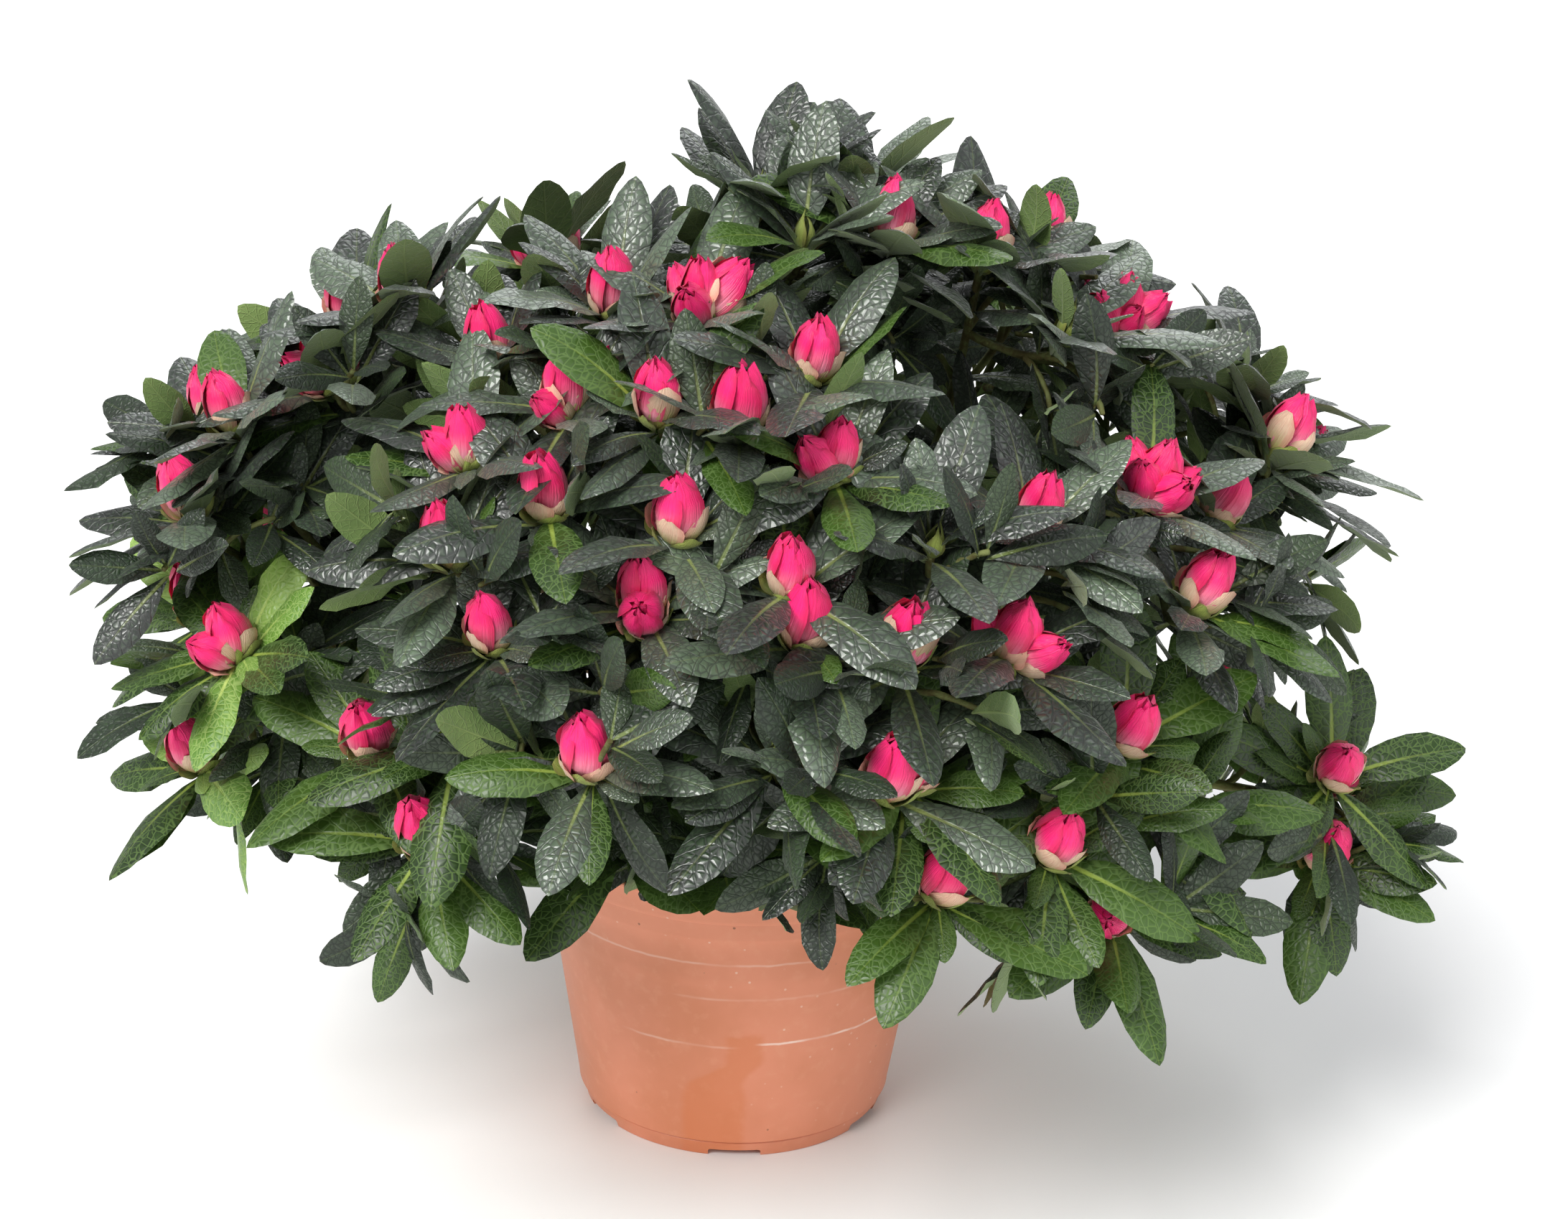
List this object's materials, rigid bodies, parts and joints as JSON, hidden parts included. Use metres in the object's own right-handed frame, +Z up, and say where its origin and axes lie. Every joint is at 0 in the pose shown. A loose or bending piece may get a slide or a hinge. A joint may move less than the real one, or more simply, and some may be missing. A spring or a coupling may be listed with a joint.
{
  "type": "potted azalea shrub",
  "caption": "Potted azalea shrub: a broad low crown of leathery leaves and pink flower buds on woody boughs, in a peat-filled tapered plastic pot with a flared collar.",
  "frame": {"origin": "centre of the pot's flat underside", "axes": "+Z up along the pot's axis, -Y towards the side that the picture shows, +X to that side's right"},
  "size_m": [0.4068, 0.3716, 0.3266],
  "materials": {
    "pot": "satin terracotta-coloured plastic",
    "peat": "moist fibrous peat",
    "bark": "rough thin bark",
    "foliage": "leathery leaf with a soft sheen"
  },
  "bodies": {
    "root": {"pot": "pot", "root_ball": "peat", "trunk": "bark", "bough_crown_top": "bark", "bough_front_upper": "bark", "bough_left_upper": "bark", "bough_right_crest": "bark", "bough_left_shoulder": "bark", "bough_left_front": "bark", "bough_back_upper_left": "bark", "bough_far_left": "bark", "bough_front_centre": "bark", "bough_right_front": "bark", "bough_right_side": "bark", "bough_right_mid": "bark", "bough_mid_left": "bark", "bough_low_centre": "bark", "bough_front_low": "bark", "bough_left_spray": "bark", "bough_low_left": "bark", "bough_low_front": "bark", "bough_low_right": "bark", "bough_right_spray": "bark", "bough_back_crest": "bark", "bough_back_upper_right": "bark", "bough_back_left": "bark", "bough_back_mid": "bark", "bough_back_right": "bark", "bough_back_low_left": "bark", "bough_back_low": "bark", "bough_back_low_right": "bark", "foliage_crown_top": "foliage", "foliage_front_upper": "foliage", "foliage_left_upper": "foliage", "foliage_right_crest": "foliage", "foliage_left_shoulder": "foliage", "foliage_left_front": "foliage", "foliage_back_upper_left": "foliage", "foliage_far_left": "foliage", "foliage_front_centre": "foliage", "foliage_right_front": "foliage", "foliage_right_side": "foliage", "foliage_right_mid": "foliage", "foliage_mid_left": "foliage", "foliage_low_centre": "foliage", "foliage_front_low": "foliage", "foliage_left_spray": "foliage", "foliage_low_left": "foliage", "foliage_low_front": "foliage", "foliage_low_right": "foliage", "foliage_right_spray": "foliage", "foliage_back_crest": "foliage", "foliage_back_upper_right": "foliage", "foliage_back_left": "foliage", "foliage_back_mid": "foliage", "foliage_back_right": "foliage", "foliage_back_low_left": "foliage", "foliage_back_low": "foliage", "foliage_back_low_right": "foliage"}
  },
  "joints": []
}
